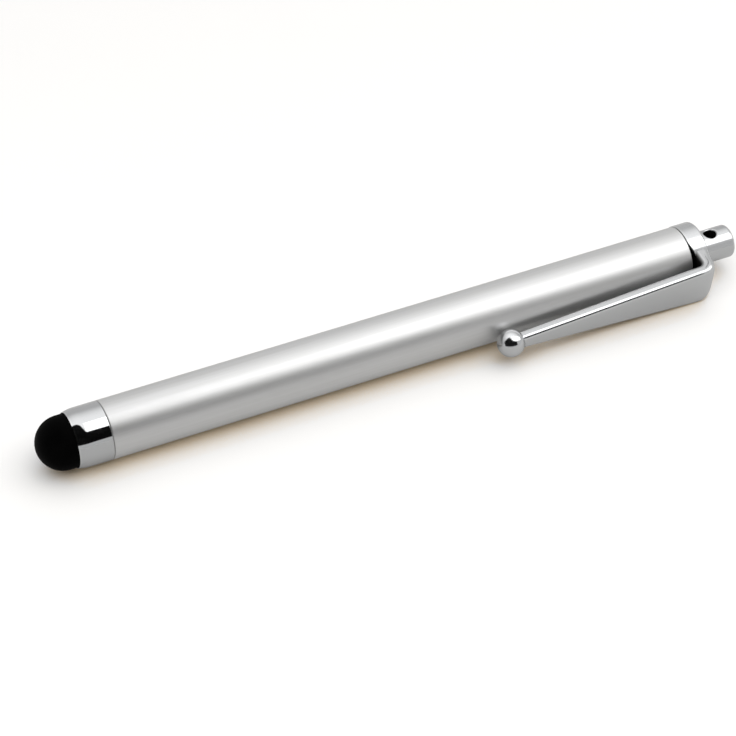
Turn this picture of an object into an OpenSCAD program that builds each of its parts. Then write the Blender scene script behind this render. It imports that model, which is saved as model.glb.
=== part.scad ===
// Touch-screen stylus pen: a rubber dome tip in a plated nose ring, a satin tube, and a plated cap that carries
// a sprung pocket clip and a cross-drilled lug for a lanyard.
// The pen lies on its clip, as it rests on a table. +X runs from tip to tail and +Z is up. The origin is on the
// table, under the middle of the pen's bounding box.

/* [Barrel] */
// Outer diameter of the barrel
barrel_d = 9; // [8:0.1:11]
// Length of the barrel between its two seams
barrel_len = 96; // [70:1:130]
// Thickness of the barrel's wall
barrel_wall = 0.5; // [0.4:0.05:0.8]
// Bevel on each edge that meets at a seam
seam_bevel = 0.1; // [0.05:0.01:0.15]

/* [Nose ring] */
// Length of the nose ring that shows
ring_len = 5.3; // [4.6:0.1:9]
// Thickness of the ring's floor, which the core seats on
ring_floor = 1; // [0.6:0.1:1.5]
// Thickness of the ring's wall around the dome
ring_wall = 0.35; // [0.25:0.05:0.6]
// Length of the rounded front lip
lip_len = 1.8; // [0.6:0.1:2.4]
// Width of the flat on the front of the lip
lip_land = 0.1; // [0.05:0.01:0.15]
// Length of the ring's spigot inside the barrel
spigot_len = 6; // [4:0.5:10]
// Thickness of the spigot's wall
spigot_wall = 1.1; // [1:0.05:1.4]

/* [Rubber tip] */
// How far the dome stands out of the ring
dome_out = 5.2; // [4.5:0.1:7]
// Thickness of the hollow dome
dome_wall = 0.9; // [0.6:0.05:1]
// Travel of the dome when it is pressed on a screen
press_travel = 0.7; // [0.3:0.05:1]
// How far the core's nose stays back from the front of the ring
core_inset = 1.1; // [0.5:0.1:2]
// Bevel on the core's nose
core_bevel = 0.3; // [0.1:0.05:0.5]

/* [Cap] */
// How far the cap stands proud of the barrel
cap_step = 0.1; // [0.05:0.05:0.3]
// Length of the cap behind the barrel
cap_len = 3; // [2.6:0.1:5]
// Rounding of the cap's rear edge
cap_round = 0.4; // [0.3:0.1:1.2]
// Thickness of the cap's plate
plate_t = 1.5; // [1.2:0.1:1.8]
// Thickness of the cap's skirt
skirt_t = 0.7; // [0.5:0.05:0.9]
// Gap between the skirt and the barrel, on the side away from the clip
skirt_gap = 0.05; // [0.02:0.01:0.1]
// How much wider that gap is at the clip
skirt_lift = 0.3; // [0.1:0.05:0.5]

/* [Clip] */
// Thickness of the tab, along the pen
tab_t = 2; // [1.8:0.1:2.4]
// How far the tab's rear face stays in front of the cap's
tab_inset = 0.4; // [0.3:0.05:0.6]
// Thickness of the root of the arm
clip_t = 1.7; // [1.3:0.1:2]
// Width of the tab and of the root of the arm
clip_w = 7; // [5:0.1:7.4]
// Thickness of the arm at the ball
arm_end_t = 1.7; // [1.2:0.1:1.9]
// Width of the arm at the ball
arm_end_w = 2.6; // [2:0.1:3.4]
// Gap between the barrel and the root of the arm
arm_gap = 1.15; // [0.8:0.05:2]
// Inner radius of the bend from the tab into the arm
bend_r = 0.7; // [0.5:0.1:0.8]
// Outer radius of that bend
bend_out_r = 1.9; // [1.4:0.1:2.3]
// Rounding of the clip's long edges
clip_edge_r = 0.5; // [0.2:0.05:0.6]
// Gap across the split between the tab and the sprung arm
split_gap = 0.05; // [0.02:0.01:0.1]
// Diameter of the ball at the end of the arm
ball_d = 4.3; // [3.6:0.1:5]
// Distance from the tail end of the barrel forward to the middle of the ball
ball_reach = 32.8; // [24:0.2:45]
// Gap between the ball and the barrel
ball_gap = 0.08; // [0.05:0.01:0.2]
// Diameter of the pin that holds the ball on the arm
pin_d = 1; // [0.8:0.1:1.2]
// How far that pin reaches past the middle of the ball
pin_past = 0.6; // [0:0.1:1]

/* [Tail bush] */
// Length of the bush inside the barrel
bush_len = 8; // [5:0.5:15]
// Gap around the bush's boss, inside the cap's skirt
boss_gap = 0.6; // [0.3:0.1:1]
// Depth of the bush's hole past the end of the stud
hole_past = 1; // [0.5:0.1:2]

/* [Lug] */
// Diameter of the lug
lug_d = 5.2; // [4.4:0.1:6]
// Length of the lug behind the cap
lug_len = 5.8; // [4.6:0.1:9]
// Rounding of the lug's rear edge
lug_round = 0.5; // [0.3:0.1:1.2]
// Diameter of the lanyard eye through the lug
eye_d = 2; // [1.5:0.1:2.8]
// Distance from the cap's rear face to the middle of the eye
eye_back = 2.4; // [1.8:0.1:2.8]
// Diameter of the lug's stud
stud_d = 3; // [2:0.1:3.4]
// Length of the stud inside the bush
stud_grip = 6; // [4:0.5:6]

/* [Fits] */
// Radial gap where one piece is pressed or glued into another
seat_gap = 0.02; // [0.01:0.01:0.03]
// Radial gap around the dome's skirt, which slides
slide_gap = 0.05; // [0.03:0.01:0.08]
// Gap left behind the dome's skirt at the end of its travel
stop_gap = 0.1; // [0.05:0.05:0.2]
// Radial gap around the stud where it passes through the cap
stud_gap = 0.1; // [0.05:0.05:0.2]

/* [Hidden] */
$fn = 96;
// How far a cutting shape runs past the faces it cuts
overrun = 1;

// Radii across the pen
barrel_r = barrel_d / 2;
barrel_in_r = barrel_r - barrel_wall;
ring_bore_r = barrel_r - ring_wall;
dome_r = ring_bore_r - slide_gap;
dome_in_r = dome_r - dome_wall;
core_r = dome_in_r - slide_gap;
spigot_r = barrel_in_r - seat_gap;
spigot_bore_r = spigot_r - spigot_wall;
shank_r = spigot_bore_r - seat_gap;
bush_r = barrel_in_r - seat_gap;
cap_r = barrel_r + cap_step;
skirt_in_r = cap_r - skirt_t;
boss_r = skirt_in_r - boss_gap;
stud_r = stud_d / 2;
lug_r = lug_d / 2;
ball_r = ball_d / 2;

// Places along the pen, measured from the front of the dome
ring_x = dome_out;
front_seam_x = ring_x + ring_len;
floor_x = front_seam_x - ring_floor;
dome_end_x = floor_x - press_travel - stop_gap;
spigot_end_x = front_seam_x + spigot_len;
tail_seam_x = front_seam_x + barrel_len;
cap_end_x = tail_seam_x + cap_len;
plate_x = cap_end_x - plate_t;
tab_x = cap_end_x - tab_inset - tab_t;
eye_x = cap_end_x + eye_back;
pen_len = cap_end_x + lug_len;

// The front lip falls by lip_drop over lip_len on one arc
lip_drop = ring_wall - lip_land;
lip_r = (lip_len * lip_len + lip_drop * lip_drop) / (2 * lip_drop);

// The arm in the plane of the clip: x along the pen, and h out from the pen's axis.
// The bend turns about [bend_x, bend_h], and the arm then runs straight to the middle of the ball.
arm_in_h = barrel_r + arm_gap;
bend_x = tab_x - bend_r;
bend_h = arm_in_h - bend_r;
bend_mid_r = bend_r + clip_t / 2;
ball_x = tail_seam_x - ball_reach;
ball_h = barrel_r + ball_gap + ball_r;
ball_run = norm([bend_x - ball_x, ball_h - bend_h]);
arm_slope = atan2(ball_h - bend_h, bend_x - ball_x) - asin(bend_mid_r / ball_run);
arm_start = [bend_x + bend_mid_r * sin(arm_slope), bend_h + bend_mid_r * cos(arm_slope)];
arm_run = norm([arm_start[0] - ball_x, ball_h - arm_start[1]]);
arm_dir = [-cos(arm_slope), sin(arm_slope)];
// Outside the bend, the tab's rear face and the arm's outer face are at tab_out and arm_out from [bend_x, bend_h],
// and an arc about bend_corner joins them between two angles
tab_out = bend_r + tab_t;
arm_out = bend_r + clip_t;
bend_end = 90 - arm_slope;
bend_corner = [tab_out - bend_out_r,
               (arm_out - bend_out_r - (tab_out - bend_out_r) * cos(bend_end)) / sin(bend_end)];
corner_from = atan2(bend_corner[1], tab_out);
corner_to = atan2(bend_corner[1] + bend_out_r * sin(bend_end), bend_corner[0] + bend_out_r * cos(bend_end));
// The arm's width and thickness are given at the face of the ball, and its end reaches to a share of the ball
arm_len = arm_run - ball_r;
arm_end_share = 0.55;
arm_into_ball = ball_r * (1 - arm_end_share);

// The pen rolls onto its clip until the clip's lower outer edge and the cap touch the table together
clip_out_h = arm_in_h + clip_t;
corner_h = clip_out_h - clip_edge_r;
corner_w = clip_w / 2 - clip_edge_r;
roll = asin((cap_r - clip_edge_r) / norm([corner_h, corner_w])) - atan2(corner_w, corner_h);
// The ball is what reaches farthest to the clip's side, and the cap to the other side
ball_side_y = ball_h * cos(roll) + ball_r;
axis_y = (ball_side_y - cap_r) / 2;

// Steps round the bend and round each corner of the arm's section
BEND_STEPS = 12;
CORNER_STEPS = 4;

// Places

module on_table() {
    translate([-pen_len / 2, axis_y, cap_r]) children();
}

module clip_side() {
    on_table() rotate([roll, 0, 0]) children();
}

// A profile of radius across and distance along the pen, turned about the pen's axis
module turned() {
    on_table() rotate([0, 90, 0]) rotate_extrude() children();
}

// Profiles and sections

// A band of a turned profile, from one radius to another and from one place to another
module band(r_in, r_out, x_from, x_to) {
    translate([r_in, x_from]) square([r_out - r_in, x_to - x_from]);
}

// What a rounding of radius r takes off the outer rear corner at [corner_r, corner_x]
module rear_round(corner_r, corner_x, r) {
    translate([corner_r - r, corner_x - r]) difference() {
        square([r + overrun, r + overrun]);
        circle(r);
    }
}

// What a bevel takes off an outer corner
module bevel(corner_r, corner_x, size) {
    translate([corner_r, corner_x]) rotate(45) square(size * sqrt(2), center = true);
}

// A half-round nose of radius r with its front at x_from, and a straight body behind it
module nose_profile(r, x_from, x_to) {
    intersection() {
        union() {
            translate([0, x_from + r]) circle(r);
            band(0, r, x_from + r, x_to);
        }
        band(0, r, x_from, x_to);
    }
}

// A bar's section, thick across x and wide across y, with rounded corners
module bar_section(t, w, r) {
    square([t - 2 * r, w], center = true);
    square([t, w - 2 * r], center = true);
    for (sx = [-1, 1], sy = [-1, 1]) translate([sx * (t / 2 - r), sy * (w / 2 - r)]) circle(r);
}

// The same section as points, taken round once
function bar_points(t, w, r) = [
    for (k = [0:3], j = [0:CORNER_STEPS])
        let (a = 90 * k + 90 * j / CORNER_STEPS,
             sx = k == 0 || k == 3 ? 1 : -1,
             sy = k < 2 ? 1 : -1)
        [sx * (t / 2 - r) + r * cos(a), sy * (w / 2 - r) + r * sin(a)]
];

// A station on the arm's middle line: [x, h, angle of its outward side, thickness, width]
function bend_reach(a) =
    let (n = [cos(a), sin(a)], aside = bend_corner[0] * n[1] - bend_corner[1] * n[0])
    a < corner_from ? tab_out / cos(a)
    : a > corner_to ? arm_out / cos(bend_end - a)
    : bend_corner * n + sqrt(bend_out_r * bend_out_r - aside * aside);
function bend_station(a) =
    let (reach = bend_reach(a), mid = (bend_r + reach) / 2)
    [bend_x + mid * cos(a), bend_h + mid * sin(a), a, reach - bend_r, clip_w];
function arm_station(d) =
    let (share = min(d / arm_len, 1))
    [arm_start[0] + d * arm_dir[0], arm_start[1] + d * arm_dir[1], 90 - arm_slope,
     clip_t + (arm_end_t - clip_t) * share, clip_w + (arm_end_w - clip_w) * share];

// The section's points in place round a station
function station_ring(s) = [
    for (p = bar_points(s[3], s[4], clip_edge_r))
        [s[0] + p[0] * cos(s[2]), -(s[1] + p[0] * sin(s[2])), p[1]]
];

// The middle of the ball, with +Z along the arm and away from its root
module at_ball() {
    translate([ball_x, -ball_h, 0]) rotate([0, 0, arm_slope]) rotate([0, -90, 0]) children();
}

// A round bar along the arm, from a distance before the middle of the ball to the end of the pin
module pin_bar(r, before) {
    translate([0, 0, -before]) cylinder(r = r, h = before + pin_past);
}

// A closed skin over rings of points, with a flat face at each end
module skin(rings) {
    n = len(rings[0]);
    m = len(rings);
    faces = [
        for (i = [0:m - 2], j = [0:n - 1])
            let (a = i * n + j, b = i * n + (j + 1) % n)
            each [[a, a + n, b], [b, a + n, b + n]]
    ];
    first = [for (j = [0:n - 1]) j];
    last = [for (j = [0:n - 1]) m * n - 1 - j];
    polyhedron(points = [for (r = rings) each r], faces = concat([first], faces, [last]), convexity = 4);
}

// Pieces

// Drawn tube that everything else is fixed to
module barrel() {
    color([0.78, 0.78, 0.79]) turned() difference() {
        band(barrel_in_r, barrel_r, front_seam_x, tail_seam_x);
        for (x = [front_seam_x, tail_seam_x]) bevel(barrel_r, x, seam_bevel);
    }
}

// Plated ring with a pocket for the dome in front and a spigot in the barrel behind
module nose_ring() {
    color([0.86, 0.87, 0.88]) turned() difference() {
        union() {
            band(0, barrel_r, ring_x, front_seam_x);
            band(0, spigot_r, front_seam_x - ring_floor / 2, spigot_end_x);
        }
        band(0, ring_bore_r, ring_x - overrun, floor_x);
        band(0, spigot_bore_r, ring_x, spigot_end_x + overrun);
        bevel(barrel_r, front_seam_x, seam_bevel);
        difference() {
            band(barrel_r - lip_drop, barrel_r + overrun, ring_x - overrun, ring_x + lip_len);
            translate([barrel_r - lip_r, ring_x + lip_len]) circle(lip_r);
        }
    }
}

// Hollow conductive rubber dome, whose skirt slides in the ring's pocket
module tip_dome() {
    color([0.04, 0.04, 0.04]) turned() difference() {
        nose_profile(dome_r, 0, dome_end_x);
        nose_profile(dome_in_r, dome_wall, dome_end_x + overrun);
    }
}

// Metal core that lines the dome's skirt and joins it to the ring
module tip_core() {
    core_x = ring_x + core_inset;
    color([0.78, 0.66, 0.38]) turned() difference() {
        union() {
            band(0, core_r, core_x, floor_x);
            band(0, shank_r, core_x, spigot_end_x);
        }
        bevel(core_r, core_x, core_bevel);
    }
}

// Plug in the tail of the barrel, with a boss that the cap's plate seats on and a blind hole for the stud
module tail_bush() {
    color([0.06, 0.06, 0.06]) turned() difference() {
        union() {
            band(0, bush_r, tail_seam_x - bush_len, tail_seam_x);
            band(0, boss_r, tail_seam_x - bush_len, plate_x);
        }
        band(0, stud_r + seat_gap, plate_x - stud_grip - hole_past, plate_x + overrun);
    }
}

// Plated cup over the tail with the tab of the clip on its side: the skirt's front edge leans back towards the tab
module clip_cap() {
    tab_h = bend_h - split_gap;
    lift_angle = atan2(skirt_lift, 2 * cap_r);
    color([0.86, 0.87, 0.88]) difference() {
        union() {
            difference() {
                turned() difference() {
                    band(0, cap_r, tail_seam_x, cap_end_x);
                    rear_round(cap_r, cap_end_x, cap_round);
                }
                clip_side() translate([tail_seam_x + skirt_gap, cap_r, 0]) rotate([0, 0, lift_angle])
                    translate([-cap_len, -2 * cap_r - overrun, -cap_r - overrun])
                        cube([cap_len, 2 * (cap_r + overrun), 2 * (cap_r + overrun)]);
            }
            clip_side() translate([tab_x + tab_t / 2, 0, 0]) rotate([90, 0, 0])
                linear_extrude(height = tab_h) bar_section(tab_t, clip_w, clip_edge_r);
        }
        turned() {
            band(0, skirt_in_r, tail_seam_x - overrun, plate_x);
            band(0, stud_r + stud_gap, plate_x - overrun, cap_end_x + overrun);
        }
    }
}

// Sprung arm: the bend and the tapering strip, with a pin for the ball at its end
module clip_arm() {
    color([0.84, 0.85, 0.86]) clip_side() {
        difference() {
            skin([
                for (k = [0:BEND_STEPS]) station_ring(bend_station(bend_end * k / BEND_STEPS)),
                for (d = [arm_len, arm_run - arm_into_ball]) station_ring(arm_station(d))
            ]);
            at_ball() sphere(ball_r + seat_gap);
        }
        at_ball() pin_bar(pin_d / 2, ball_r + arm_end_t);
    }
}

// Turned ball at the end of the arm, bored for the arm's pin
module clip_ball() {
    color([0.88, 0.89, 0.90]) clip_side() at_ball() difference() {
        sphere(ball_r);
        pin_bar(pin_d / 2 + seat_gap, ball_r + overrun);
    }
}

// Turned lug with the lanyard eye through it and a stud that holds the cap on
module tail_lug() {
    color([0.86, 0.87, 0.88]) difference() {
        turned() difference() {
            union() {
                band(0, lug_r, cap_end_x, pen_len);
                band(0, stud_r, plate_x - stud_grip, cap_end_x + lug_round);
            }
            rear_round(lug_r, pen_len, lug_round);
        }
        on_table() translate([eye_x, 0, -lug_r - overrun]) cylinder(d = eye_d, h = lug_d + 2 * overrun);
    }
}

barrel();
nose_ring();
tip_dome();
tip_core();
tail_bush();
clip_cap();
clip_arm();
clip_ball();
tail_lug();
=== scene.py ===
"""Touch-screen stylus pen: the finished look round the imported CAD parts, in their frame.

Shapes are worked out in millimetres, x along the pen from the front of its dome, and go into the row frame
in metres at the end. The sizes repeat the CAD source's, because this script can't read that file. The clip's
strip is a little thicker and rounder here, and the cap's skirt leans further, as in the photograph.
"""
import math

import bmesh
import bpy
import numpy as np
from mathutils import Matrix


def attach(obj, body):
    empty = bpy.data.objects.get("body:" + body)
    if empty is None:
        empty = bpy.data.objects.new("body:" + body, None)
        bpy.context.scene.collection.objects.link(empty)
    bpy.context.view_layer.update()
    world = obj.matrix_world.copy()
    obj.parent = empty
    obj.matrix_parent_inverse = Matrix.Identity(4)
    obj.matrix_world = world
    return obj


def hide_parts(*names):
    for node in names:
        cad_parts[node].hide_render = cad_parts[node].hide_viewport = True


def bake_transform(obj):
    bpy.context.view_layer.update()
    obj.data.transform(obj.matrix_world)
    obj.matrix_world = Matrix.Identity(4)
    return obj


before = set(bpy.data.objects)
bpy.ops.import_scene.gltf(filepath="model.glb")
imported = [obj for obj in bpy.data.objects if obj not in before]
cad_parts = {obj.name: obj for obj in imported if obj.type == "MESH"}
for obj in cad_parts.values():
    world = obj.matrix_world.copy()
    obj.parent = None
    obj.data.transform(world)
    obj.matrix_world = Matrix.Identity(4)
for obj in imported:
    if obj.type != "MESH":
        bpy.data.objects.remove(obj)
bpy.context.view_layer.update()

MM = 0.001

# Driving sizes in mm, x along the pen. The dome stands RING_X out of its ring and has DOME_PLAY behind it.
RING_X, RING_LEN, BARREL_LEN, CAP_LEN, LUG_LEN = 5.2, 5.3, 96.0, 3.0, 5.8
BARREL_R, BARREL_IN_R, SEAM_BEVEL = 4.5, 4.0, 0.1
RING_BORE_R, RING_FLOOR_T, LIP_LEN, LIP_DROP = 4.15, 1.0, 1.8, 0.25
SPIGOT_R, SPIGOT_BORE_R, SPIGOT_LEN = 3.98, 2.88, 6.0
DOME_R, DOME_IN_R, DOME_PLAY = 4.1, 3.2, 0.8
CAP_R, CAP_ROUND, PLATE_T, PLATE_HOLE_R = 4.6, 0.4, 1.5, 1.6
SKIRT_IN_R, SKIRT_GAP, SKIRT_LIFT = 3.9, 0.05, 0.6
LUG_R, LUG_ROUND, STUD_R, STUD_GRIP = 2.6, 0.5, 1.5, 6.0
EYE_R, EYE_BACK, EYE_EASE = 1.0, 2.4, 0.3

# Places along the pen
FRONT_SEAM = RING_X + RING_LEN
RING_FLOOR_X = FRONT_SEAM - RING_FLOOR_T
DOME_END = RING_FLOOR_X - DOME_PLAY
TAIL_SEAM = FRONT_SEAM + BARREL_LEN
CAP_END = TAIL_SEAM + CAP_LEN
PLATE_X = CAP_END - PLATE_T
EYE_X = CAP_END + EYE_BACK
PEN_LEN = CAP_END + LUG_LEN

# The clip: its tab stands on the cap's side, turns through the bend and runs to the ball.
# h is the distance out from the pen's axis towards the clip, and w goes across it.
TAB_BACK, TAB_T, CLIP_T, CLIP_W, CLIP_ROUND = 2.4, 2.3, 1.85, 7.0, 0.7
END_T, END_W, END_IN, BEND_R, BEND_OUT_R, CROWN = 1.8, 2.6, 0.45, 0.7, 2.3, 0.4
ARM_GAP, BALL_GAP, BALL_REACH, BALL_R, PIN_R, PIN_PAST = 1.15, 0.08, 32.8, 2.15, 0.52, 0.6
ROOT_R = 4.25    # inside the cap's wall, where the tab's root ends
TAB_X = CAP_END - TAB_BACK
BEND_X, BEND_H = TAB_X - BEND_R, BARREL_R + ARM_GAP - BEND_R
BALL_X, BALL_H = TAIL_SEAM - BALL_REACH, BARREL_R + BALL_GAP + BALL_R

# How the pen lies: on its cap and on the solid clip's lower edge, a round of EDGE_R about (EDGE_H, EDGE_W).
# Across, the frame's middle is halfway between the far sides of the ball and the cap.
SOLID_CLIP_T, EDGE_R = 1.7, 0.5
EDGE_H, EDGE_W = BARREL_R + ARM_GAP + SOLID_CLIP_T - EDGE_R, CLIP_W / 2 - EDGE_R
AXIS_Z = CAP_R
ROLL = math.atan2(EDGE_H, EDGE_W) - math.acos((AXIS_Z - EDGE_R) / math.hypot(EDGE_H, EDGE_W))
AXIS_Y = (BALL_H * math.cos(ROLL) + BALL_R - CAP_R) / 2

# The photograph's viewpoint, fitted to the pen's outline: angles in degrees, the lens in mm, the place in m
CAMERA_AZIMUTH, CAMERA_ELEVATION, CAMERA_LENS = -25.1796, 40.7786, 141.5755
CAMERA_PLACE = (-0.14551621, -0.29738517, 0.28636425)

SIDES = 192      # faces round a turned piece
WELD = 2e-8      # metres, closer than any two points that stay apart


# Lines and surfaces

def split(line, step):
    """The same line with each stretch cut into equal parts no longer than step."""
    spans = np.diff(line, axis=0)
    parts = np.maximum(1, np.ceil(np.linalg.norm(spans, axis=1) / step - 1e-6)).astype(int)
    first = np.cumsum(parts) - parts
    share = (np.arange(parts.sum()) - np.repeat(first, parts)) / np.repeat(parts, parts)
    cut = np.repeat(line[:-1], parts, axis=0) + share[:, None] * np.repeat(spans, parts, axis=0)
    return np.vstack([cut, line[-1:]])


def rounded(corners, radii, step=1.5, turns=8, hold=0.06, closed=False):
    """A line through corners, with each one turned on an arc of its own radius (0 keeps it sharp).

    The arc starts radius * tan(turn / 2) before the corner, and its points are
    start + radius * ((1 - cos a) * inward + sin a * ahead) for a from 0 to the turn.
    A point stands hold before and after each arc, so that the flats beside it shade flat.
    """
    corners = np.array(corners, float)
    last = len(corners) - 1
    parts = []
    for i, radius in enumerate(radii):
        if radius == 0 or (not closed and i in (0, last)):
            parts.append(corners[i:i + 1])
            continue
        ahead = corners[i] - corners[i - 1]
        leaving = corners[(i + 1) % len(corners)] - corners[i]
        ahead, leaving = ahead / np.linalg.norm(ahead), leaving / np.linalg.norm(leaving)
        turn = math.acos(np.clip(ahead @ leaving, -1, 1))
        side = math.copysign(1, ahead[0] * leaving[1] - ahead[1] * leaving[0])
        inward = side * np.array([-ahead[1], ahead[0]])
        reach = radius * math.tan(turn / 2)
        a = np.linspace(0, turn, turns + 1)[:, None]
        start = corners[i] - ahead * reach
        arc = start + radius * ((1 - np.cos(a)) * inward + np.sin(a) * ahead)
        parts.append(np.vstack([start - hold * ahead, arc, corners[i] + leaving * (reach + hold)]))
    line = np.vstack(parts + ([parts[0][:1]] if closed else []))
    line = split(line, step)
    return line[:-1] if closed else line


def arc_line(centre, radius, start, end, count):
    """Points (x, r) on a circle: centre + radius * (-cos a, sin a) for a from start to end, in degrees."""
    a = np.radians(np.linspace(start, end, count))
    return np.stack([centre[0] - radius * np.cos(a), centre[1] + radius * np.sin(a)], -1)


def smooth_step(value, low, high):
    """0 up to low and 1 from high on, with t * t * (3 - 2 t) between them."""
    t = np.clip((value - low) / (high - low), 0, 1)
    return t * t * (3 - 2 * t)


def grid_faces(rows, cols, join_rows=False, join_cols=False):
    """Four-cornered faces of a grid kept row by row, whose last row or column may join its first."""
    i = np.arange(rows if join_rows else rows - 1)[:, None]
    j = np.arange(cols if join_cols else cols - 1)[None, :]
    down, right = (i + 1) % rows, (j + 1) % cols
    corners = [i * cols + j, i * cols + right, down * cols + right, down * cols + j]
    return np.stack(corners, -1).reshape(-1, 4)


def on_table(x, across, up):
    """Row frame millimetres of a point x along the pen, across and up from its axis."""
    x, across, up = np.broadcast_arrays(x, across, up)
    return np.stack([x - PEN_LEN / 2, AXIS_Y + across, AXIS_Z + up], -1)


def clip_side(x, h, w):
    """Row frame millimetres of a point x along the pen, h out towards the clip and w across it."""
    c, s = math.cos(ROLL), math.sin(ROLL)
    return on_table(x, -h * c - w * s, -h * s + w * c)


def turned(profile, closed=False, place=clip_side):
    """Points and faces of a profile (x, r) turned once about the pen: (x, r cos a, r sin a) at each angle a.

    Rows of no radius shrink to one point when the mesh is welded. A closed profile has walls all round.
    """
    a = np.arange(SIDES) * 2 * math.pi / SIDES
    x, r = profile[:, :1], profile[:, 1:]
    points = place(x, r * np.cos(a), r * np.sin(a)).reshape(-1, 3)
    return points, grid_faces(len(profile), SIDES, join_rows=closed, join_cols=True)


def joined(*parts):
    """Several sets of points and faces as one."""
    starts = np.cumsum([0] + [len(points) for points, _ in parts])
    faces = [faces + start for (_, faces), start in zip(parts, starts)]
    return np.vstack([points for points, _ in parts]), np.vstack(faces)


def make_piece(name, shape, material, slot, nodes, sharp=32, **marks):
    """Puts points and faces into a mesh, welds its seams and poles, closes its ends and turns it outwards.

    Each of marks is a number from 0 to 1 at each point: edge is how rubbed a corner is, and the other mark
    how dull and dark the finish is made, as in a seam, a bore or a throat that the polishing doesn't reach.
    That darkness is partly painted shade, where such hollows and the clip's inner side lie in shadow.
    """
    points, faces = shape
    mesh = bpy.data.meshes.new(name)
    mesh.from_pydata((points * MM).tolist(), [], faces.tolist())
    for mark, values in marks.items():
        mesh.attributes.new(mark, "FLOAT", "POINT").data.foreach_set("value", values.astype(np.float32))
    solid = bmesh.new()
    solid.from_mesh(mesh)
    bmesh.ops.remove_doubles(solid, verts=solid.verts, dist=WELD)
    bmesh.ops.holes_fill(solid, edges=solid.edges, sides=0)
    bmesh.ops.recalc_face_normals(solid, faces=solid.faces)
    solid.to_mesh(mesh)
    solid.free()
    mesh.shade_smooth()
    mesh.set_sharp_from_angle(angle=math.radians(sharp))
    mesh.materials.append(material)
    made = bpy.data.objects.new(name, mesh)
    bpy.context.scene.collection.objects.link(made)
    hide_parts(*nodes)
    return made


# Materials

def lin(code):
    """Linear RGBA of an sRGB hex colour: c / 12.92 up to 0.04045, and ((c + 0.055) / 1.055) ** 2.4 above."""
    c = np.array([int(code[i:i + 2], 16) for i in (1, 3, 5)]) / 255
    return (*np.where(c <= 0.04045, c / 12.92, ((c + 0.055) / 1.055) ** 2.4).tolist(), 1.0)


def add(tree, kind, settings, links=None):
    """One node, with its properties or socket values from settings and its inputs from links."""
    made = tree.nodes.new("ShaderNode" + kind)
    for key, value in settings.items():
        if isinstance(key, str) and hasattr(made, key):
            setattr(made, key, value)
        else:
            made.inputs[key].default_value = value
    for key, source in (links or {}).items():
        tree.links.new(source, made.inputs[key])
    return made


def start_material(name):
    """An empty material with its node tree and the output socket for its surface."""
    made = bpy.data.materials.new(name)
    made.use_nodes = True
    tree = made.node_tree
    tree.nodes.clear()
    return made, tree, tree.nodes.new("ShaderNodeOutputMaterial").inputs["Surface"]


def scaled(tree, *sizes_mm):
    """Object coordinates divided by a feature size in mm along each axis."""
    place = add(tree, "TexCoord", {})
    return add(tree, "Mapping", {"Scale": [1 / (size * MM) for size in sizes_mm]},
               {"Vector": place.outputs["Object"]}).outputs[0]


def satin_anodised_aluminium():
    """Drawn 9 mm tube, bead-blasted and clear anodised: a soft broad highlight and a silky even grain."""
    made, tree, surface = start_material("satin_anodised_aluminium")
    # Blast pits are about 0.05 mm. They are drawn at 0.2 mm, because the finer ones don't show.
    grain = add(tree, "TexNoise", {"Scale": 1.0, "Detail": 3.0, "Roughness": 0.6},
                {"Vector": scaled(tree, 0.2, 0.2, 0.2)}).outputs[0]
    # Lines left by drawing the tube run along it, tens of mm long and 0.4 mm apart, nearly blasted away
    drawn = add(tree, "TexNoise", {"Scale": 1.0, "Detail": 2.0, "Roughness": 0.5},
                {"Vector": scaled(tree, 26, 0.4, 0.4)}).outputs[0]
    # Slow changes from the bath and from handling, 7 to 14 mm across
    cloud = add(tree, "TexNoise", {"Scale": 1.0, "Detail": 2.0},
                {"Vector": scaled(tree, 14, 7, 7)}).outputs[0]
    tone = add(tree, "MapRange", {"From Min": 0.3, "From Max": 0.7}, {"Value": drawn}).outputs[0]
    colour = add(tree, "Mix", {"data_type": "RGBA", 6: lin("#D4D4D3"), 7: lin("#D9D9D9")},
                 {0: tone}).outputs[2]
    # The bevel of the seam is bare of blasting and is painted a thin grey line: dust, and painted shade in
    # the groove
    groove = add(tree, "Attribute", {"attribute_name": "groove"}).outputs["Fac"]
    colour = add(tree, "Mix", {"data_type": "RGBA", 7: lin("#5B5956")}, {0: groove, 6: colour}).outputs[2]
    rough = add(tree, "MapRange", {"From Min": 0.25, "From Max": 0.75, "To Min": 0.42, "To Max": 0.46},
                {"Value": cloud}).outputs[0]
    speckle = add(tree, "MapRange", {"From Min": 0.3, "From Max": 0.7, "To Min": -0.025, "To Max": 0.025},
                  {"Value": grain}).outputs[0]
    rough = add(tree, "Math", {"operation": "ADD"}, {0: rough, 1: speckle}).outputs[0]
    height = add(tree, "Mix", {"data_type": "FLOAT", 0: 0.12}, {2: grain, 3: drawn}).outputs[0]
    bump = add(tree, "Bump", {"Strength": 0.12, "Distance": 0.00004}, {"Height": height}).outputs[0]
    # The blasted oxide skin scatters a tenth of the light evenly
    shader = add(tree, "BsdfPrincipled", {"Metallic": 0.9},
                 {"Base Color": colour, "Roughness": rough, "Normal": bump})
    tree.links.new(shader.outputs[0], surface)
    return made


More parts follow.
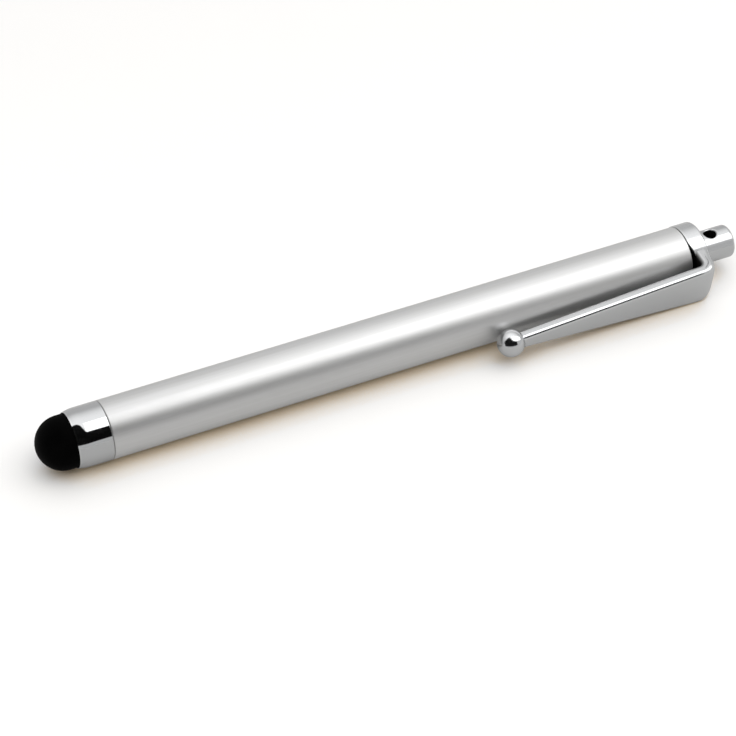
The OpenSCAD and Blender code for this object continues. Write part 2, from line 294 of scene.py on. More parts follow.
def polished_chrome(name, tint, marks_mm, haze):
    """Bright chrome over nickel: a mirror with a faint skin of ripples, finger smudges and rubbed corners.

    marks_mm are the sizes of the marks left under the plate along x, across and up: fine rings round a
    turned piece, or lines along a strip polished lengthways. haze is the roughness that buffing leaves.
    """
    made, tree, surface = start_material(name)
    # Plating ripples are about 1.6 mm long and a fraction of a micrometre high
    ripple = add(tree, "TexNoise", {"Scale": 1.0, "Detail": 1.0},
                 {"Vector": scaled(tree, 1.6, 1.6, 1.6)}).outputs[0]
    marks = add(tree, "TexNoise", {"Scale": 1.0, "Detail": 2.0, "Roughness": 0.55},
                {"Vector": scaled(tree, *marks_mm)}).outputs[0]
    smudge = add(tree, "TexNoise", {"Scale": 1.0, "Detail": 3.0, "Distortion": 0.6},
                 {"Vector": scaled(tree, 3.5, 3.5, 3.5)}).outputs[0]
    film = add(tree, "MapRange", {"From Min": 0.48, "From Max": 0.72}, {"Value": smudge}).outputs[0]
    # Corners are rubbed first: there the plate is a little brighter and finely scuffed
    edge = add(tree, "Attribute", {"attribute_name": "edge"}).outputs["Fac"]
    colour = add(tree, "Mix", {"data_type": "RGBA", 6: lin(tint), 7: lin("#DADBDB")}, {0: edge}).outputs[2]
    rough = add(tree, "MapRange", {"To Min": haze, "To Max": haze + 0.04}, {"Value": film}).outputs[0]
    rough = add(tree, "Math", {"operation": "MULTIPLY_ADD", 1: 0.03}, {0: edge, 2: rough}).outputs[0]
    # Plate and buffing hardly reach into seams, the lanyard eye and the clip's throat, and grime dulls them.
    #     Their dark colour here is also painted shade, where these hollows and the clip's inner side lie in
    #     shadow
    groove = add(tree, "Attribute", {"attribute_name": "groove"}).outputs["Fac"]
    colour = add(tree, "Mix", {"data_type": "RGBA", 7: lin("#2A2826")}, {0: groove, 6: colour}).outputs[2]
    rough = add(tree, "Mix", {"data_type": "FLOAT", 3: 0.6}, {0: groove, 2: rough}).outputs[0]
    fine = add(tree, "Bump", {"Strength": 0.05, "Distance": 0.00001}, {"Height": marks}).outputs[0]
    bump = add(tree, "Bump", {"Strength": 0.06, "Distance": 0.00006},
               {"Height": ripple, "Normal": fine}).outputs[0]
    shader = add(tree, "BsdfPrincipled", {"Metallic": 1.0},
                 {"Base Color": colour, "Roughness": rough, "Normal": bump})
    tree.links.new(shader.outputs[0], surface)
    return made


def conductive_silicone_rubber():
    """Carbon-filled silicone from a fine-blasted mould: deep black and matte, slightly polished in front."""
    made, tree, surface = start_material("conductive_silicone_rubber")
    # The tool's blast grain is about 0.06 mm and is drawn at 0.18 mm
    grain = add(tree, "TexNoise", {"Scale": 1.0, "Detail": 2.0, "Roughness": 0.65},
                {"Vector": scaled(tree, 0.18, 0.18, 0.18)}).outputs[0]
    cloud = add(tree, "TexNoise", {"Scale": 1.0, "Detail": 3.0},
                {"Vector": scaled(tree, 2.4, 2.4, 2.4)}).outputs[0]
    tone = add(tree, "MapRange", {"From Min": 0.35, "From Max": 0.7}, {"Value": cloud}).outputs[0]
    colour = add(tree, "Mix", {"data_type": "RGBA", 6: lin("#010101"), 7: lin("#040404")},
                 {0: tone}).outputs[2]
    # Use on glass polishes the front: most in its first 0.4 mm, and nothing from 2.6 mm on
    worn, clean = 0.4, 2.6
    place = add(tree, "SeparateXYZ", {}, {0: scaled(tree, 1, 1, 1)}).outputs[0]
    rubbed = add(tree, "MapRange", {"From Min": clean - PEN_LEN / 2, "From Max": worn - PEN_LEN / 2,
                                    "To Min": 0.0, "To Max": 0.16}, {"Value": place}).outputs[0]
    rough = add(tree, "MapRange", {"From Min": 0.3, "From Max": 0.7, "To Min": 0.60, "To Max": 0.74},
                {"Value": cloud}).outputs[0]
    rough = add(tree, "Math", {"operation": "SUBTRACT"}, {0: rough, 1: rubbed}).outputs[0]
    bump = add(tree, "Bump", {"Strength": 0.25, "Distance": 0.00004}, {"Height": grain}).outputs[0]
    shader = add(tree, "BsdfPrincipled", {"Metallic": 0.0, "IOR": 1.41, "Specular IOR Level": 0.03},
                 {"Base Color": colour, "Roughness": rough, "Normal": bump})
    tree.links.new(shader.outputs[0], surface)
    return made


def turned_brass():
    """Free-cutting brass, bare off the lathe: warm yellow with fine turning rings and dull spots."""
    made, tree, surface = start_material("turned_brass")
    # Turning rings are 0.1 mm apart along the pen and are drawn at 0.2 mm
    rings = add(tree, "TexNoise", {"Scale": 1.0, "Detail": 2.0},
                {"Vector": scaled(tree, 0.2, 40, 40)}).outputs[0]
    spots = add(tree, "TexNoise", {"Scale": 1.0, "Detail": 4.0},
                {"Vector": scaled(tree, 1.5, 1.5, 1.5)}).outputs[0]
    dull = add(tree, "MapRange", {"From Min": 0.5, "From Max": 0.7}, {"Value": spots}).outputs[0]
    colour = add(tree, "Mix", {"data_type": "RGBA", 6: lin("#D9B86A"), 7: lin("#A98545")},
                 {0: dull}).outputs[2]
    rough = add(tree, "Mix", {"data_type": "FLOAT", 2: 0.24, 3: 0.42}, {0: dull}).outputs[0]
    bump = add(tree, "Bump", {"Strength": 0.3, "Distance": 0.00003}, {"Height": rings}).outputs[0]
    shader = add(tree, "BsdfPrincipled", {"Metallic": 1.0},
                 {"Base Color": colour, "Roughness": rough, "Normal": bump})
    tree.links.new(shader.outputs[0], surface)
    return made


def moulded_black_acetal():
    """Black acetal, moulded in a fine-eroded tool: a dull waxy sheen over a fine grain."""
    made, tree, surface = start_material("moulded_black_acetal")
    # Spark-erosion grain is about 0.03 mm and is drawn at 0.12 mm
    grain = add(tree, "TexNoise", {"Scale": 1.0, "Detail": 2.0},
                {"Vector": scaled(tree, 0.12, 0.12, 0.12)}).outputs[0]
    flow = add(tree, "TexNoise", {"Scale": 1.0, "Detail": 3.0, "Distortion": 0.8},
               {"Vector": scaled(tree, 4, 2, 2)}).outputs[0]
    colour = add(tree, "Mix", {"data_type": "RGBA", 6: lin("#0F0F10"), 7: lin("#171718")},
                 {0: flow}).outputs[2]
    rough = add(tree, "MapRange", {"From Min": 0.3, "From Max": 0.7, "To Min": 0.42, "To Max": 0.55},
                {"Value": flow}).outputs[0]
    bump = add(tree, "Bump", {"Strength": 0.2, "Distance": 0.00002}, {"Height": grain}).outputs[0]
    shader = add(tree, "BsdfPrincipled", {"Metallic": 0.0, "IOR": 1.48},
                 {"Base Color": colour, "Roughness": rough, "Normal": bump})
    tree.links.new(shader.outputs[0], surface)
    return made


satin = satin_anodised_aluminium()
turned_chrome = polished_chrome("polished_chrome_on_turned_brass", "#CBCCCD", (0.15, 30, 30), 0.045)
lug_chrome = polished_chrome("buffed_chrome_on_turned_brass", "#CECFD0", (0.15, 30, 30), 0.11)
pressed_chrome = polished_chrome("buffed_chrome_on_pressed_steel", "#D3D4D5", (12, 0.2, 0.2), 0.13)
rubber = conductive_silicone_rubber()
for node, finish in (("tip_core", turned_brass()), ("tail_bush", moulded_black_acetal())):
    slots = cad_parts[node].data.materials
    slots.clear()
    slots.append(finish)


# Turned pieces

def rubbed_rows(profile, places, reach):
    """How rubbed each point is: 1 up to 0.6 of reach from these (x, r) places of the profile, 0 from 1.6."""
    away = np.linalg.norm(profile[:, None, :] - np.array(places)[None, :, :], axis=2).min(axis=1)
    return np.repeat(np.clip(1.6 - away / reach, 0, 1), SIDES)


def seam_rows(profile, seam):
    """How dark each point is painted: 0 on the tube's surface, and a half at the bottom of this seam's
    bevels, as grime and painted shade.
    """
    near = np.abs(profile[:, 0] - seam) < SEAM_BEVEL * 1.5
    return np.repeat(0.5 * near * np.clip((BARREL_R - profile[:, 1]) / SEAM_BEVEL, 0, 1), SIDES)


def make_barrel():
    """The tube: a wall 0.5 mm thick turned about the pen, with a small bevel at each outer end."""
    front, tail = FRONT_SEAM, TAIL_SEAM
    profile = rounded(
        [(front, BARREL_IN_R), (front, BARREL_R - SEAM_BEVEL), (front + SEAM_BEVEL, BARREL_R),
         (tail - SEAM_BEVEL, BARREL_R), (tail, BARREL_R - SEAM_BEVEL), (tail, BARREL_IN_R)],
        [0.05, 0.03, 0.05, 0.05, 0.03, 0.05], turns=4, hold=0.02, closed=True)
    made = make_piece("barrel_tube", turned(profile, closed=True), satin, "satin_aluminium", ["barrel"],
                      groove=seam_rows(profile, front))
    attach(made, "pen")


def make_nose_ring():
    """The ring: its lip falls by LIP_DROP over LIP_LEN on one arc, and a spigot goes on into the tube."""
    arc_r = (LIP_LEN ** 2 + LIP_DROP ** 2) / (2 * LIP_DROP)
    lean = math.degrees(math.asin(LIP_LEN / arc_r))
    lip = arc_line((RING_X + LIP_LEN, BARREL_R - arc_r), arc_r, 90 - lean, 90, 14)
    spigot_end = FRONT_SEAM + SPIGOT_LEN
    behind = rounded(
        [lip[-1], (FRONT_SEAM - SEAM_BEVEL, BARREL_R), (FRONT_SEAM, BARREL_R - SEAM_BEVEL),
         (FRONT_SEAM, SPIGOT_R), (spigot_end, SPIGOT_R), (spigot_end, SPIGOT_BORE_R),
         (RING_FLOOR_X, SPIGOT_BORE_R), (RING_FLOOR_X, RING_BORE_R), (RING_X, RING_BORE_R), lip[0]],
        [0, 0.05, 0.03, 0, 0.15, 0.1, 0.05, 0, 0.04, 0], step=0.7, turns=4, hold=0.03)
    profile = np.vstack([lip[:-1], behind[:-1]])
    made = make_piece("nose_ring_plated", turned(profile, closed=True), turned_chrome, "plated_brass",
                      ["nose_ring"], edge=rubbed_rows(profile, [lip[0]], 0.12),
                      groove=seam_rows(profile, FRONT_SEAM))
    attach(made, "pen")


def make_dome():
    """The hollow tip: an outer and an inner half round about one centre, and a straight skirt behind."""
    outer = arc_line((DOME_R, 0), DOME_R, 0, 90, 49)
    inner = arc_line((DOME_R, 0), DOME_IN_R, 90, 0, 37)
    skirt = rounded([outer[-1], (DOME_END, DOME_R), (DOME_END, DOME_IN_R), inner[0]], [0, 0.2, 0.2, 0],
                    step=0.6)
    profile = np.vstack([outer[:-1], skirt, inner[1:]])
    made = make_piece("dome_rubber", turned(profile), rubber, "conductive_rubber", ["tip_dome"])
    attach(made, "tip")


def make_cap():
    """The cup: turned about the pen, then its skirt's front edge is leant back towards the clip.

    A point between the front edge and the plate moves back by its share of the way to the edge, times
    SKIRT_LIFT, times a smooth step of h from 1.3 mm to 3.6 mm, because the pressing springs open at the tab.
    """
    front = TAIL_SEAM + SKIRT_GAP
    profile = rounded(
        [(front, SKIRT_IN_R), (front, CAP_R), (CAP_END, CAP_R),
         (CAP_END, PLATE_HOLE_R), (PLATE_X, PLATE_HOLE_R), (PLATE_X, SKIRT_IN_R)],
        [0.06, 0.08, CAP_ROUND, 0.05, 0.05, 0.05], step=0.4, turns=8, hold=0.03, closed=True)
    # Handling rubs the skirt's front edge and the middle of the rear round
    worn_at = [(front, CAP_R), (CAP_END - 0.12, CAP_R - 0.12)]

    def leaning(x, h, w):
        """A point of the cup after the lean."""
        share = np.clip((PLATE_X - x) / (PLATE_X - front), 0, 1)
        return clip_side(x + share * SKIRT_LIFT * smooth_step(h, 1.3, 3.6), h, w)

    made = make_piece("cap_plated", turned(profile, closed=True, place=leaning), pressed_chrome,
                      "plated_steel", ["clip_cap"], edge=rubbed_rows(profile, worn_at, 0.2))
    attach(made, "pen")


# The clip

def arm_slope():
    """How steeply the arm leaves the pen, so that its middle line meets the bend and the ball's middle."""
    run, rise = BEND_X - BALL_X, BALL_H - BEND_H
    return math.atan2(rise, run) - math.asin((BEND_R + CLIP_T / 2) / math.hypot(run, rise))


def half_section(thick, wide, count=9):
    """Half of a bar's outline from one side to the other: across it, out of its middle, and how rubbed.

    Flats join two quarter rounds of CLIP_ROUND, and each round's point at angle a stands
    (wide / 2 - CLIP_ROUND + CLIP_ROUND cos a, thick / 2 - CLIP_ROUND + CLIP_ROUND sin a) from the middle.
    thick and wide are columns, one row for each station.
    """
    a = np.linspace(0, math.pi / 2, count)
    flat = np.array([0.97, 0.8, 0.55, 0.27, 0.0])
    side = np.array([0.0, 0.5, 0.93])
    room_w, room_t = wide / 2 - CLIP_ROUND, thick / 2 - CLIP_ROUND
    side_w = np.repeat(room_w + CLIP_ROUND, len(side), axis=1)
    flat_t = np.repeat(room_t + CLIP_ROUND, len(flat), axis=1)
    w = np.hstack([side_w, room_w + CLIP_ROUND * np.cos(a), room_w * flat])
    t = np.hstack([room_t * side, room_t + CLIP_ROUND * np.sin(a), flat_t])
    rubbed = np.concatenate([0 * side, np.sin(2 * a), 0 * flat])
    w, t = np.hstack([w, -w[:, -2::-1]]), np.hstack([t, t[:, -2::-1]])
    return w, t, np.concatenate([rubbed, rubbed[-2::-1]])


def bend_reach(a, end_turn):
    """How far the bend's outside stands from its middle at each angle a, from the tab to the arm.

    The tab's flat is tab_out / cos a off, and the arm's is arm_out / cos(end_turn - a). Between them runs a
    round of BEND_OUT_R about (round_x, round_h) that touches both.
    """
    tab_out, arm_out = BEND_R + TAB_T, BEND_R + CLIP_T
    round_x = tab_out - BEND_OUT_R
    round_h = (arm_out - BEND_OUT_R - round_x * math.cos(end_turn)) / math.sin(end_turn)
    first = math.atan2(round_h, tab_out)
    last = math.atan2(round_h + BEND_OUT_R * math.sin(end_turn), round_x + BEND_OUT_R * math.cos(end_turn))
    ahead = round_x * np.cos(a) + round_h * np.sin(a)
    aside = round_x * np.sin(a) - round_h * np.cos(a)
    on_round = ahead + np.sqrt(np.maximum(BEND_OUT_R ** 2 - aside ** 2, 0))
    reach = np.where(a > last, arm_out / np.cos(end_turn - a), on_round)
    return np.where(a < first, tab_out / np.cos(a), reach)


def stations(x, h, turn, thick, wide):
    """Rows of the strip: its middle (x, h), the angle of its outward side, its thickness and its width."""
    return np.stack(np.broadcast_arrays(x, h, turn, thick, wide), -1)


def bend_stations(a, end_turn):
    """The bend: its middle line runs halfway between its inside and its outside at each angle a."""
    reach = bend_reach(a, end_turn)
    mid = (BEND_R + reach) / 2
    return stations(BEND_X + mid * np.cos(a), BEND_H + mid * np.sin(a), a, reach - BEND_R, CLIP_W)


def arm_stations(slope):
    """The arm, and how far along it each station is.

    It tapers evenly from the bend to the ball's face, and ends in the ball, END_IN of the ball's radius from
    its middle.
    """
    mid_r = BEND_R + CLIP_T / 2
    start_x, start_h = BEND_X + mid_r * math.sin(slope), BEND_H + mid_r * math.cos(slope)
    run = math.hypot(start_x - BALL_X, BALL_H - start_h)
    face = run - BALL_R
    along = np.concatenate([np.linspace(0, face, 41)[1:], [run - BALL_R * END_IN]])
    share = np.minimum(along / face, 1)
    arm = stations(start_x - along * math.cos(slope), start_h + along * math.sin(slope), math.pi / 2 - slope,
                   CLIP_T + (END_T - CLIP_T) * share, CLIP_W + (END_W - CLIP_W) * share)
    return arm, along


def strip_dull_and_shade(out, thick, before, along):
    """How dull and dark each point is painted on the outer and the inner half of the sections, before the
    arm and along it.

    The throat under the tab and the bend, which ends 1 mm to 5 mm along the arm, is dark: the wheel doesn't
    reach it, and its darkness is painted shade. The rest of the side towards the barrel is painted partly
    dark, so that the tube's reflection of it reads as the clip's shadow. The stamped sides are a little
    darker and rougher.
    """
    side_dull, inner_painted_shade = 0.2, 0.4
    throat = np.concatenate([np.ones(before), np.interp(along, [1, 5], [1, 0])])[:, None]
    on_face = np.clip((out - thick / 2 + CLIP_ROUND) / CLIP_ROUND, 0, 1)
    outside = side_dull * (1 - on_face) ** 2
    return outside, np.maximum(outside, on_face * np.maximum(throat, inner_painted_shade))


def make_strip():
    """Tab, bend and arm as the one strip that they are: a rounded bar carried along its middle line.

    A point of a station's section stands out from the middle along the outward side, and w across.
    """
    slope = arm_slope()
    end_turn = math.pi / 2 - slope
    rise = np.linspace(0, 1, 9)[:-1]
    a = np.linspace(0, end_turn, 41)
    tab = stations(TAB_X + TAB_T / 2, BEND_H * rise, 0.0, TAB_T, CLIP_W)
    bend = bend_stations(a, end_turn)
    arm, along = arm_stations(slope)
    x, h, turn, thick, wide = np.vstack([tab, bend, arm]).T[:, :, None]
    w, out, rubbed = half_section(thick, wide)

    # The root sinks into the cap's wall on a curve of ROOT_R, and each row above it is nearer to level
    root = np.sqrt(ROOT_R ** 2 - w[:len(tab)] ** 2)
    h = np.repeat(h, w.shape[1], axis=1)
    h[:len(tab)] = root + (BEND_H - root) * rise[:, None]
    # The bend's outside is crowned: the sides of its corner fall away by up to CROWN as the fourth power of
    # w, less and less down the tab and from 45 degrees round the bend on
    fall = np.concatenate([smooth_step(rise, 0.3, 1.0), smooth_step(-a, -end_turn, -math.pi / 4), 0 * along])
    crowned = out - CROWN * fall[:, None] * np.abs(2 * w / CLIP_W) ** 4 * (np.abs(out) > 0)
    outer = clip_side(x + crowned * np.cos(turn), h + crowned * np.sin(turn), w)
    inner = clip_side(x - out * np.cos(turn), h - out * np.sin(turn), w)
    loop = np.concatenate([outer, inner[:, -2:0:-1]], axis=1)
    rows, count = loop.shape[:2]

    rubbed = np.tile(np.concatenate([rubbed, rubbed[-2:0:-1]]), rows)
    # How dark and dull each point is: painted shade in the throat and on the inner side, and darker stamped
    # sides
    outside, inside = strip_dull_and_shade(out, thick, len(tab) + len(bend), along)
    dull = np.hstack([outside, inside[:, -2:0:-1]]).ravel()
    made = make_piece("clip_strip", (loop.reshape(-1, 3), grid_faces(rows, count, join_cols=True)),
                      pressed_chrome, "plated_steel", ["clip_arm"], edge=rubbed, groove=dull)
    # Where the strip would follow the clip, from the tab's face to blend_len in front of it: worked out, but
    # not used
    blend_h, blend_len = BEND_H + 1, 2.4
    start_at = clip_side(TAB_X, blend_h, 0.0) * MM
    end_at = clip_side(TAB_X - blend_len, blend_h, 0.0) * MM
    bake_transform(made)


def make_ball():
    """The ball, turned about the arm's own line, with the blind bore that its pin goes into."""
    slope = arm_slope()
    mouth = math.degrees(math.asin(PIN_R / BALL_R))
    outer = arc_line((0, 0), BALL_R, 0, 180 - mouth, 97)
    bore = rounded([outer[-1], (-PIN_PAST, PIN_R), (-PIN_PAST, 0)], [0, 0, 0], step=0.3)
    profile = np.vstack([outer[:-1], bore])

    def along_arm(x, across, w):
        """A point x along the arm's line from the ball's middle, across from that line and w sideways."""
        return clip_side(BALL_X + x * math.cos(slope) + across * math.sin(slope),
                         BALL_H - x * math.sin(slope) + across * math.cos(slope), w)

    made = make_piece("clip_ball_plated", turned(profile, place=along_arm), pressed_chrome,
                      "plated_steel", ["clip_ball"], sharp=40)
    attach(made, "clip")


# The lug

def lug_side():
    """The upper half of the lug's side with half of the eye's wall: points, faces, and 1 inside the eye.

    The side is unrolled onto (x, angle from the top). Straight lines of that sheet run from the eye's rim, a
    circle in plan, to the sheet's outline. The rim turns on a round of EYE_EASE into the eye's wall.
    """
    half, steps, rear_x = SIDES // 2, 24, PEN_LEN - LUG_ROUND
    angle = np.linspace(-math.pi / 2, math.pi / 2, half + 1)
    side_x = np.linspace(CAP_END, rear_x, steps + 1)
    outline = np.vstack([
        np.stack([np.full(half, CAP_END), angle[:-1]], -1),
        np.stack([side_x[:-1], np.full(steps, math.pi / 2)], -1),
        np.stack([np.full(half, rear_x), angle[:0:-1]], -1),
        np.stack([side_x[:0:-1], np.full(steps, -math.pi / 2)], -1)])
    bearing = np.arctan2(outline[:, 1] * LUG_R, outline[:, 0] - EYE_X)
    rim_r = EYE_R + EYE_EASE
    rim = np.stack([EYE_X + rim_r * np.cos(bearing), np.arcsin(rim_r * np.sin(bearing) / LUG_R)], -1)
    # Rows stand closer together towards the rim
    share = (np.linspace(0, 1, 15) ** 1.4)[:, None, None]
    flat = rim + (outline - rim) * share
    patch = np.stack([flat[..., 0], LUG_R * np.sin(flat[..., 1]), LUG_R * np.cos(flat[..., 1])], -1)
    # The rim's round goes from the side down into the wall, and the wall to the middle of the lug
    t = np.linspace(0, math.pi / 2, 11)[1:, None]
    plan_r = EYE_R + EYE_EASE * (1 - np.sin(t))
    across = plan_r * np.sin(bearing)
    rounding = np.stack([EYE_X + plan_r * np.cos(bearing), across,
                         np.sqrt(LUG_R ** 2 - across ** 2) - EYE_EASE * (1 - np.cos(t))], -1)
    wall = rounding[-1] * np.stack([np.ones(3), np.ones(3), np.array([0.66, 0.33, 0.0])], -1)[:, None, :]
    sheet = np.concatenate([patch[::-1], rounding, wall])
    # Painted shade in the eye, where plating also hardly reaches: the finish is dark and dull over the last
    # two fifths
    #     of the rim's round, and stays so down the wall
    into_eye = np.clip(5 * t[:, 0] / math.pi - 1.5, 0, 1)
    in_eye = np.repeat(np.concatenate([np.zeros(len(patch)), into_eye, np.ones(3)]), len(outline))
    return sheet.reshape(-1, 3), grid_faces(len(sheet), len(outline), join_cols=True), in_eye


def lug_rows(profile):
    """Points and faces of a profile (x, r) turned about the lug, on the same angles as its side."""
    ring = np.linspace(-math.pi, math.pi, SIDES + 1)[:-1]
    x, r = profile[:, :1], profile[:, 1:]
    points = np.stack(np.broadcast_arrays(x, r * np.sin(ring), r * np.cos(ring)), -1).reshape(-1, 3)
    return points, grid_faces(len(profile), SIDES, join_cols=True)


def make_lug():
    """The lug: two mirrored halves of its side, with the eye cut through them, between turned ends."""
    points, faces, in_eye = lug_side()
    face_r = LUG_R - LUG_ROUND
    rear = np.vstack([arc_line((PEN_LEN - LUG_ROUND, face_r), LUG_ROUND, 90, 180, 9),
                      [[PEN_LEN, face_r - 0.05], [PEN_LEN, 1.2], [PEN_LEN, 0]]])
    stud_end = PLATE_X - STUD_GRIP
    front = rounded([(CAP_END, LUG_R), (CAP_END, STUD_R), (stud_end, STUD_R), (stud_end, 0)], [0, 0, 0.2, 0],
                    step=0.8)
    points, faces = joined((points, faces), (points * [1, 1, -1], faces), lug_rows(rear), lug_rows(front))
    # The rear corner is rubbed. The first half millimetre by the cap is painted half dark and dull: painted
    # shade where the lug meets the cap
    worn_x, worn_reach, root_len = PEN_LEN - 0.15, 0.3, 0.5
    rubbed = np.clip(1 - np.abs(points[:, 0] - worn_x) / worn_reach, 0, 1)
    in_eye = np.concatenate([in_eye, in_eye, np.zeros(len(points) - 2 * len(in_eye))])
    shade_by_cap = 0.5 * np.clip(1 - (points[:, 0] - CAP_END) / root_len, 0, 1)
    made = make_piece("lug_plated", (on_table(*points.T), faces), lug_chrome, "plated_brass", ["tail_lug"],
                      edge=rubbed, groove=np.maximum(in_eye, shade_by_cap))
    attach(made, "pen")


make_barrel()
make_nose_ring()
make_dome()
make_cap()
make_strip()
make_ball()
make_lug()


# Table, lights and camera

def make_table():
    """A flat pale board under the pen, 6 m square: white in the open, with the pen's own soft shadow.

    The metal shows it plain grey, with a little light of its own, as the photograph's metal does.
    """
    lines = 25
    span = np.linspace(-3.0, 3.0, lines)
    x, y = np.meshgrid(span, span, indexing="ij")
    points = np.stack([x, y, 0 * x], -1).reshape(-1, 3)
    mesh = bpy.data.meshes.new("table")
    mesh.from_pydata(points.tolist(), [], grid_faces(lines, lines)[:, ::-1].tolist())
    made = bpy.data.objects.new("table", mesh)
    bpy.context.scene.collection.objects.link(made)
    paper, tree, surface = start_material("coated_white_board")
    mottle = add(tree, "TexNoise", {"Scale": 1.0, "Detail": 2.0},
                 {"Vector": scaled(tree, 30, 30, 30)}).outputs[0]
    tone = add(tree, "Mix", {"data_type": "RGBA", 6: lin("#FBFBFB"), 7: lin("#FDFDFD")},
               {0: mottle}).outputs[2]
    # Painted warm bounce light between the tube and the board: close under the pen, where little is open,
    # the board's colour turns warm
    open_share = add(tree, "AmbientOcclusion", {"samples": 4, "Distance": 0.006}).outputs["AO"]
    open_share = add(tree, "MapRange", {"From Min": 0.3, "From Max": 0.5}, {"Value": open_share}).outputs[0]
    tone = add(tree, "Mix", {"data_type": "RGBA", 6: lin("#F7E2C3")}, {0: open_share, 7: tone}).outputs[2]
    # Painted reflection: to glossy rays the board is a plain grey copy that glows a little of its own
    glossy = add(tree, "LightPath", {}).outputs["Is Glossy Ray"]
    tone = add(tree, "Mix", {"data_type": "RGBA", 7: lin("#BEBEBE")}, {0: glossy, 6: tone}).outputs[2]
    glow = add(tree, "Math", {"operation": "MULTIPLY", 1: 0.06}, {0: glossy}).outputs[0]
    shader = add(tree, "BsdfPrincipled", {"Roughness": 0.5, "Specular IOR Level": 0.2, "IOR": 1.45,
                                          "Emission Color": lin("#FFFFFF")},
                 {"Base Color": tone, "Emission Strength": glow})
    tree.links.new(shader.outputs[0], surface)
    mesh.materials.append(paper)


def make_dark_card():
    """The unlit side of the studio, which only shows in the metal: a bent sheet round the pen's line.

    At X along the pen and angle a up from the camera's side, a point stands card_r off:
    (X, -card_r cos a, card_r sin a). From foot degrees up, the sheet reaches about 45 degrees at its right
    end and 95 on the left, round the camera.
    """
    card_r, left, right, foot = 300.0, -900, 177, 13
    columns, rows = 55, 25
    x = np.linspace(left, right, columns)[:, None]
    top = np.interp(x, [-90, -50, 0, 100, 190], [95, 91, 57, 48, 44])
    a = np.radians(foot + (top - foot) * np.linspace(0, 1, rows))
    points = np.stack(np.broadcast_arrays(x, -card_r * np.cos(a), card_r * np.sin(a)), -1).reshape(-1, 3)
    mesh = bpy.data.meshes.new("dark_card")
    mesh.from_pydata((points * MM).tolist(), [], grid_faces(columns, rows).tolist())
    made = bpy.data.objects.new("dark_card", mesh)
    bpy.context.scene.collection.objects.link(made)
    made.visible_camera = made.visible_diffuse = made.visible_shadow = made.visible_transmission = False
    dark_reflection, tree, surface = start_material("painted_dark_reflection")
    # A painted dark reflection: a faint near-black glow that only the metal shows
    shader = add(tree, "Emission", {"Color": lin("#0A0A0A"), "Strength": 1.0})
    tree.links.new(shader.outputs[0], surface)
    mesh.materials.append(dark_reflection)


def make_softbox(name, low_x, high_x, in_metal):
    """An area lamp 0.5 m off, 46 to 90 degrees up on the camera's side: power pi * radiance * its area."""
    away, tilt, depth, radiance = 0.5, math.radians(68), 0.404, 1.34
    length = high_x - low_x
    lamp = bpy.data.lights.new(name, "AREA")
    lamp.shape, lamp.size, lamp.size_y = "RECTANGLE", length, depth
    lamp.energy = math.pi * radiance * length * depth
    made = bpy.data.objects.new(name, lamp)
    bpy.context.scene.collection.objects.link(made)
    outward = np.array([0, -math.cos(tilt), math.sin(tilt)])
    up = np.array([0, math.sin(tilt), math.cos(tilt)])
    turn = Matrix(np.stack([np.array([1.0, 0, 0]), up, outward], -1).tolist()).to_4x4()
    place = outward * away + np.array([(low_x + high_x) / 2, AXIS_Y * MM, AXIS_Z * MM])
    made.matrix_world = Matrix.Translation(place.tolist()) @ turn
    made.visible_camera = False
    made.visible_glossy = in_metal


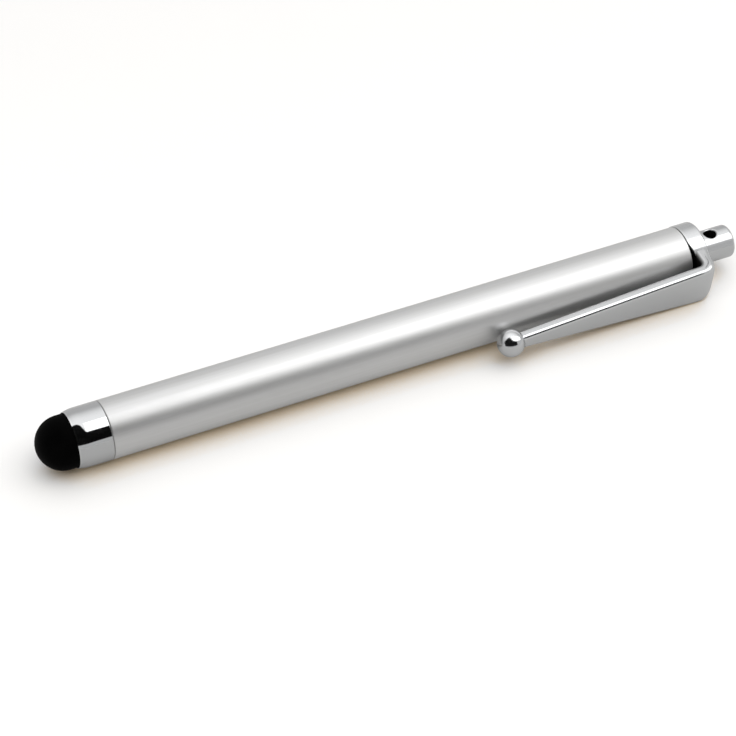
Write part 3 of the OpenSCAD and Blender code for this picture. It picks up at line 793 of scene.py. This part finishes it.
def make_world():
    """A plain room: a wall that fades from white overhead to grey at the horizon.

    Its radiance is 0.62 up to where a direction's upward part is 0.42, and rises from there on a smooth step
    towards 1.42 at 1.1. Metal sees that wall. What is matte gets its light times 0.3 from the far left and
    times 1.7 from the far right, and only a dim warm fill from the camera's side. The camera sees plain
    white.
    """
    world = bpy.data.worlds.new("studio")
    bpy.context.scene.world = world
    world.use_nodes = True
    tree = world.node_tree
    tree.nodes.clear()
    rays = add(tree, "LightPath", {}).outputs
    aim = add(tree, "SeparateXYZ", {}, {0: add(tree, "TexCoord", {}).outputs["Generated"]}).outputs
    fade = add(tree, "MapRange", {"interpolation_type": "SMOOTHSTEP", "From Min": 0.42, "From Max": 1.1,
                                  "To Min": 0.62, "To Max": 1.42}, {"Value": aim[2]}).outputs[0]
    side = add(tree, "MapRange", {"From Min": -1.0, "To Min": 0.3, "To Max": 1.7},
               {"Value": aim[0]}).outputs[0]
    side = add(tree, "Mix", {2: 1.0}, {0: rays["Is Diffuse Ray"], 3: side}).outputs[0]
    fade = add(tree, "Math", {"operation": "MULTIPLY"}, {0: fade, 1: side}).outputs[0]
    wall = add(tree, "Background", {"Color": lin("#FFFFFF")}, {"Strength": fade}).outputs[0]
    fill = add(tree, "Background", {"Color": lin("#9C978F")}, {"Strength": side}).outputs[0]
    white = add(tree, "Background", {"Color": lin("#FFFFFF"), "Strength": 1.0}).outputs[0]
    front = add(tree, "MapRange", {"From Min": 0.08, "From Max": -0.08}, {"Value": aim[1]}).outputs[0]
    matte = add(tree, "Math", {"operation": "MULTIPLY"}, {0: front, 1: rays["Is Diffuse Ray"]}).outputs[0]
    room = add(tree, "MixShader", {}, {0: matte, 1: wall, 2: fill}).outputs[0]
    seen = add(tree, "Math", {"operation": "ADD"},
               {0: rays["Is Camera Ray"], 1: rays["Is Transmission Ray"]}).outputs[0]
    out = tree.nodes.new("ShaderNodeOutputWorld").inputs["Surface"]
    tree.links.new(add(tree, "MixShader", {}, {0: seen, 1: room, 2: white}).outputs[0], out)


def make_camera():
    """The photograph's viewpoint: left of the pen's middle, and looking down."""
    lens = bpy.data.cameras.new("camera")
    lens.sensor_width, lens.lens = 36.0, CAMERA_LENS
    lens.clip_start, lens.clip_end = 0.01, 20.0
    made = bpy.data.objects.new("camera", lens)
    bpy.context.scene.collection.objects.link(made)
    azimuth, elevation = math.radians(CAMERA_AZIMUTH), math.radians(CAMERA_ELEVATION)
    back = np.array([math.sin(azimuth) * math.cos(elevation), -math.cos(azimuth) * math.cos(elevation),
                     math.sin(elevation)])
    right = np.array([math.cos(azimuth), math.sin(azimuth), 0.0])
    turn = Matrix(np.stack([right, np.cross(back, right), back], -1).tolist()).to_4x4()
    made.matrix_world = Matrix.Translation(CAMERA_PLACE) @ turn
    bpy.context.scene.camera = made


make_table()
make_dark_card()
make_softbox("softbox", 0.045, 1.25, in_metal=True)
make_softbox("softbox_left", -1.1, 0.045, in_metal=False)
make_world()
make_camera()
bpy.context.scene.view_settings.view_transform = "Standard"
